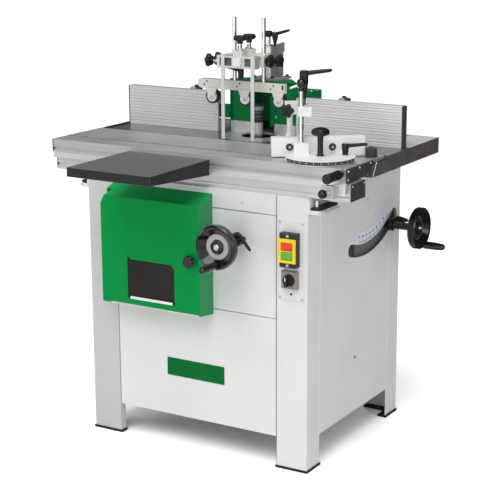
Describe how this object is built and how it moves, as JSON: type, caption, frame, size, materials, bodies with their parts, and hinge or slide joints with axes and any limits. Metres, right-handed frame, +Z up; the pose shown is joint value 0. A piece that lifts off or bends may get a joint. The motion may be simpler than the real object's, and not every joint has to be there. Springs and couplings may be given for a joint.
{
  "type": "spindle moulder",
  "caption": "Floor-standing spindle moulder with tilting spindle, sliding table with mitre gauge, split fence with chip hood, roller hold-down, handwheels and access door.",
  "frame": {"origin": "on the floor under the centre of the cabinet's footprint", "axes": "+X along the front to the operator's right, +Y to the rear, +Z up"},
  "size_m": [1.0233, 0.922, 1.212],
  "materials": {
    "paint_white": "satin",
    "paint_green": "gloss",
    "paint_dark_green": "gloss",
    "paint_grey": "satin",
    "paint_cream": "satin",
    "motor_paint": "satin",
    "cast_grey": "ground",
    "machine_casting": "cast",
    "aluminium": "brushed",
    "steel": "turned",
    "chrome": "polished",
    "black_plastic": "matt",
    "black_steel": "satin",
    "grey_plastic": "matt",
    "red_plastic": "gloss",
    "green_plastic": "gloss",
    "rubber": "matt",
    "window": "clear"
  },
  "bodies": {
    "cabinet": {"cabinet_frame": "paint_white", "rubber_feet": "rubber", "lower_front_panel": "paint_white", "middle_front_panel": "paint_white", "right_side_panel": "paint_white", "left_side_panel": "paint_white", "rear_panel": "paint_white", "machine_table": "cast_grey", "guide_rail": "aluminium", "stop_brackets": "black_steel", "switch_plate": "paint_grey", "switch_housing": "black_plastic", "trunnion_brackets": "machine_casting", "fence_hood": "paint_dark_green", "hood_skirt": "steel", "hold_down_frame": "paint_grey", "shaft_bush": "steel"},
    "sliding_table": {"sliding_table": "aluminium", "carriage_shoes": "black_steel", "extension_table": "cast_grey", "push_handle": "black_plastic"},
    "mitre_gauge": {"mitre_plate": "aluminium", "mitre_fence": "aluminium", "clamp_post": "chrome"},
    "pressure_unit": {"pressure_rods": "chrome", "roller_bar": "paint_cream"},
    "lift_unit": {"quill_housing": "machine_casting", "motor": "motor_paint", "drive_belt": "rubber"},
    "spindle": {"spindle": "steel", "spindle_nut": "black_steel"},
    "access_door": {"access_door": "paint_green", "door_window": "window"},
    "lock_plunger": {"lock_plunger": "black_steel"},
    "mitre_handle": {"mitre_handle": "black_plastic"},
    "mitre_lever": {"mitre_lever": "black_plastic"},
    "clamp_arm": {"clamp_arm": "paint_grey"},
    "clamp_lever": {"clamp_lever": "black_plastic"},
    "left_fence": {"left_fence": "aluminium"},
    "right_fence": {"right_fence": "aluminium"},
    "roller_left": {"roller_left": "rubber"},
    "roller_middle": {"roller_middle": "rubber"},
    "roller_right": {"roller_right": "rubber"},
    "pressure_bars": {"pressure_bars": "aluminium"},
    "rod_top_knob": {"rod_top_knob": "black_plastic"},
    "rod_side_knob": {"rod_side_knob": "black_plastic"},
    "bar_top_knob": {"bar_top_knob": "black_plastic"},
    "bar_side_knob": {"bar_side_knob": "black_plastic"},
    "tilt_cradle": {"tilt_cradle": "machine_casting"},
    "motor_pulley": {"motor_pulley": "steel"},
    "height_handwheel": {"height_handwheel": "black_plastic"},
    "tilt_handwheel": {"tilt_handwheel": "black_plastic"},
    "front_crank_grip": {"front_crank_grip": "black_plastic"},
    "side_crank_grip": {"side_crank_grip": "black_plastic"},
    "height_lock": {"height_lock": "black_plastic"},
    "tilt_lock": {"tilt_lock": "black_plastic"},
    "door_knob": {"door_knob": "black_plastic"},
    "stop_button": {"stop_button": "red_plastic"},
    "start_button": {"start_button": "green_plastic"},
    "selector_knob": {"selector_knob": "black_plastic"}
  },
  "joints": [
    {"name": "sliding_table_slide", "type": "slide", "parent": "cabinet", "child": "sliding_table", "axis": [1, 0, 0], "range_m": [-0.3, 0.3]},
    {"name": "lock_plunger_pull", "type": "slide", "parent": "sliding_table", "child": "lock_plunger", "axis": [0, -1, 0], "range_m": [0, 0.015], "stiffness_N_per_m": 300},
    {"name": "mitre_pivot", "type": "hinge", "parent": "sliding_table", "child": "mitre_gauge", "pos_m": [0.354, -0.21, 0.866], "axis": [0, 0, 1], "range_deg": [-20, 30]},
    {"name": "mitre_handle_turn", "type": "hinge", "parent": "mitre_gauge", "child": "mitre_handle", "pos_m": [0.354, -0.21, 0.9], "axis": [0, 0, 1], "range_deg": [-180, 180]},
    {"name": "mitre_lever_turn", "type": "hinge", "parent": "mitre_gauge", "child": "mitre_lever", "pos_m": [0.40518, -0.16434, 0.9], "axis": [0, 0, 1], "range_deg": [-80, 20]},
    {"name": "clamp_arm_slide", "type": "slide", "parent": "mitre_gauge", "child": "clamp_arm", "axis": [0, 0, 1], "range_m": [-0.03, 0.02]},
    {"name": "clamp_lever_turn", "type": "hinge", "parent": "clamp_arm", "child": "clamp_lever", "pos_m": [0.28323, -0.17346, 1.03], "axis": [0, 0, 1], "range_deg": [-60, 90]},
    {"name": "left_fence_slide", "type": "slide", "parent": "cabinet", "child": "left_fence", "axis": [1, 0, 0], "range_m": [-0.06, 0.02]},
    {"name": "right_fence_slide", "type": "slide", "parent": "cabinet", "child": "right_fence", "axis": [1, 0, 0], "range_m": [-0.01, 0.06]},
    {"name": "pressure_lift", "type": "slide", "parent": "cabinet", "child": "pressure_unit", "axis": [0, 0, 1], "range_m": [-0.08, 0.03]},
    {"name": "bar_head_slide", "type": "slide", "parent": "cabinet", "child": "pressure_bars", "axis": [0, 1, 0], "range_m": [-0.015, 0.008]},
    {"name": "spindle_tilt", "type": "hinge", "parent": "cabinet", "child": "tilt_cradle", "pos_m": [0.006, 0.057, 0.865], "axis": [-1, 0, 0], "range_deg": [0, 45]},
    {"name": "spindle_lift", "type": "slide", "parent": "tilt_cradle", "child": "lift_unit", "axis": [0, 0, 1], "range_m": [-0.06, 0.03]},
    {"name": "spindle_spin", "type": "hinge", "parent": "lift_unit", "child": "spindle", "pos_m": [0.006, 0.057, 0.865], "axis": [0, 0, 1], "continuous": true},
    {"name": "motor_pulley_spin", "type": "hinge", "parent": "lift_unit", "child": "motor_pulley", "pos_m": [-0.184, 0.057, 0.469], "axis": [0, 0, 1], "continuous": true},
    {"name": "height_wheel_turn", "type": "hinge", "parent": "cabinet", "child": "height_handwheel", "pos_m": [0.143, -0.395, 0.641], "axis": [0, 1, 0], "range_deg": [-4320, 2160]},
    {"name": "tilt_wheel_turn", "type": "hinge", "parent": "tilt_cradle", "child": "tilt_handwheel", "pos_m": [0.457, 0.20926, 0.60651], "axis": [1, 0, 0], "range_deg": [0, 5400]},
    {"name": "front_grip_spin", "type": "hinge", "parent": "height_handwheel", "child": "front_crank_grip", "pos_m": [0.143, -0.44, 0.593], "axis": [0, 1, 0], "continuous": true},
    {"name": "side_grip_spin", "type": "hinge", "parent": "tilt_handwheel", "child": "side_crank_grip", "pos_m": [0.5, 0.20926, 0.55851], "axis": [1, 0, 0], "continuous": true},
    {"name": "height_lock_turn", "type": "hinge", "parent": "cabinet", "child": "height_lock", "pos_m": [0.143, -0.3, 0.641], "axis": [0, 1, 0], "range_deg": [-40, 40]},
    {"name": "tilt_lock_turn", "type": "hinge", "parent": "tilt_cradle", "child": "tilt_lock", "pos_m": [0.37, 0.20926, 0.60651], "axis": [1, 0, 0], "range_deg": [-40, 40]},
    {"name": "door_hinge", "type": "hinge", "parent": "cabinet", "child": "access_door", "pos_m": [-0.276, -0.2943, 0.58], "axis": [0, 0, -1], "range_deg": [0, 95]},
    {"name": "door_knob_turn", "type": "hinge", "parent": "access_door", "child": "door_knob", "pos_m": [0.037, -0.37, 0.581], "axis": [0, 1, 0], "range_deg": [0, 90]},
    {"name": "stop_button_press", "type": "slide", "parent": "cabinet", "child": "stop_button", "axis": [0, 1, 0], "range_m": [0, 0.004], "stiffness_N_per_m": 400},
    {"name": "start_button_press", "type": "slide", "parent": "cabinet", "child": "start_button", "axis": [0, 1, 0], "range_m": [0, 0.004], "stiffness_N_per_m": 400},
    {"name": "selector_turn", "type": "hinge", "parent": "cabinet", "child": "selector_knob", "pos_m": [0.311, -0.31, 0.55], "axis": [0, 1, 0], "range_deg": [-45, 45]},
    {"name": "roller_left_spin", "type": "hinge", "parent": "pressure_unit", "child": "roller_left", "pos_m": [-0.118, 0.008, 0.979], "axis": [0, 1, 0], "continuous": true},
    {"name": "roller_middle_spin", "type": "hinge", "parent": "pressure_unit", "child": "roller_middle", "pos_m": [-0.006, 0.008, 0.979], "axis": [0, 1, 0], "continuous": true},
    {"name": "roller_right_spin", "type": "hinge", "parent": "pressure_unit", "child": "roller_right", "pos_m": [0.106, 0.008, 0.979], "axis": [0, 1, 0], "continuous": true},
    {"name": "rod_top_knob_turn", "type": "hinge", "parent": "cabinet", "child": "rod_top_knob", "pos_m": [0.006, 0.006, 1.145], "axis": [0, 0, 1], "continuous": true},
    {"name": "rod_side_knob_turn", "type": "hinge", "parent": "cabinet", "child": "rod_side_knob", "pos_m": [-0.09, 0.006, 1.0905], "axis": [1, 0, 0], "continuous": true},
    {"name": "bar_top_knob_turn", "type": "hinge", "parent": "pressure_bars", "child": "bar_top_knob", "pos_m": [0.006, -0.044, 1.145], "axis": [0, 0, 1], "continuous": true},
    {"name": "bar_side_knob_turn", "type": "hinge", "parent": "pressure_bars", "child": "bar_side_knob", "pos_m": [-0.09, -0.044, 1.0905], "axis": [1, 0, 0], "continuous": true}
  ],
  "couplings": [
    {"joint": "tilt_wheel_turn", "follows": "spindle_tilt", "ratio": 120},
    {"joint": "height_wheel_turn", "follows": "spindle_lift", "rad_per_m": 1256.6},
    {"joint": "spindle_spin", "follows": "motor_pulley_spin", "ratio": 1.4706}
  ]
}
